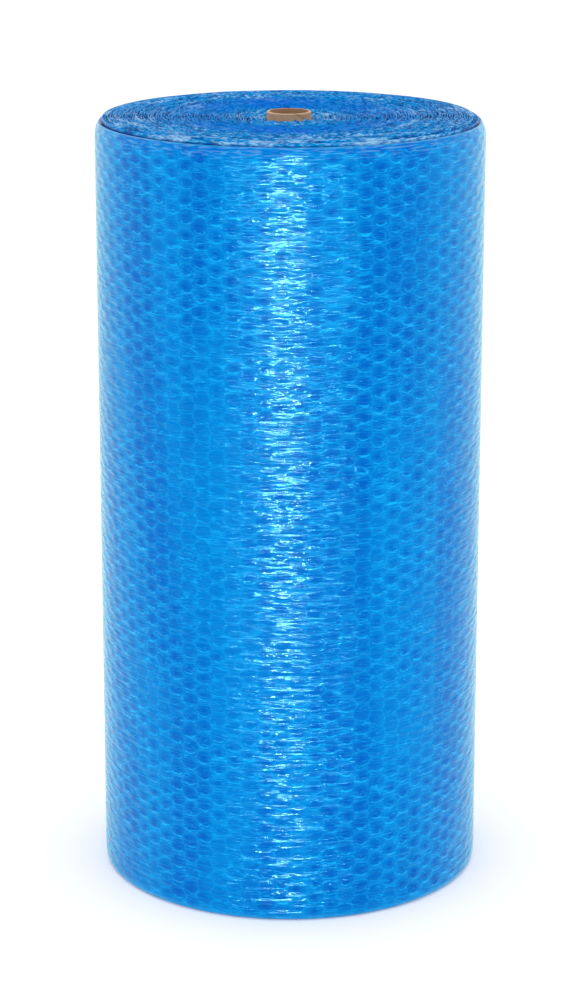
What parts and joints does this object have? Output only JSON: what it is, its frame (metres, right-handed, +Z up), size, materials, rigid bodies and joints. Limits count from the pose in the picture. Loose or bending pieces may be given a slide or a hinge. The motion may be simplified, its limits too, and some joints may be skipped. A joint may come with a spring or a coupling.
{
  "type": "bubble film roll",
  "caption": "Tall roll of translucent blue bubble film wound in a spiral on a paperboard core tube, standing on its end, with soft rounded rims and an open core.",
  "frame": {"origin": "on the core tube's axis, in the plane that the roll stands on", "axes": "+Z up the core's axis; -Y towards the picture's viewer; the film's loose end lies on the +Y side"},
  "size_m": [0.4995, 0.5027, 1.0085],
  "materials": {
    "paperboard": "plain brown spiral-wound paperboard with square cut ends",
    "blue_film": "translucent sky-blue polyethylene film, glossy, with rows of round air bubbles under the outer layer"
  },
  "bodies": {
    "root": {"core_tube": "paperboard", "bubble_film": "blue_film"}
  },
  "joints": []
}
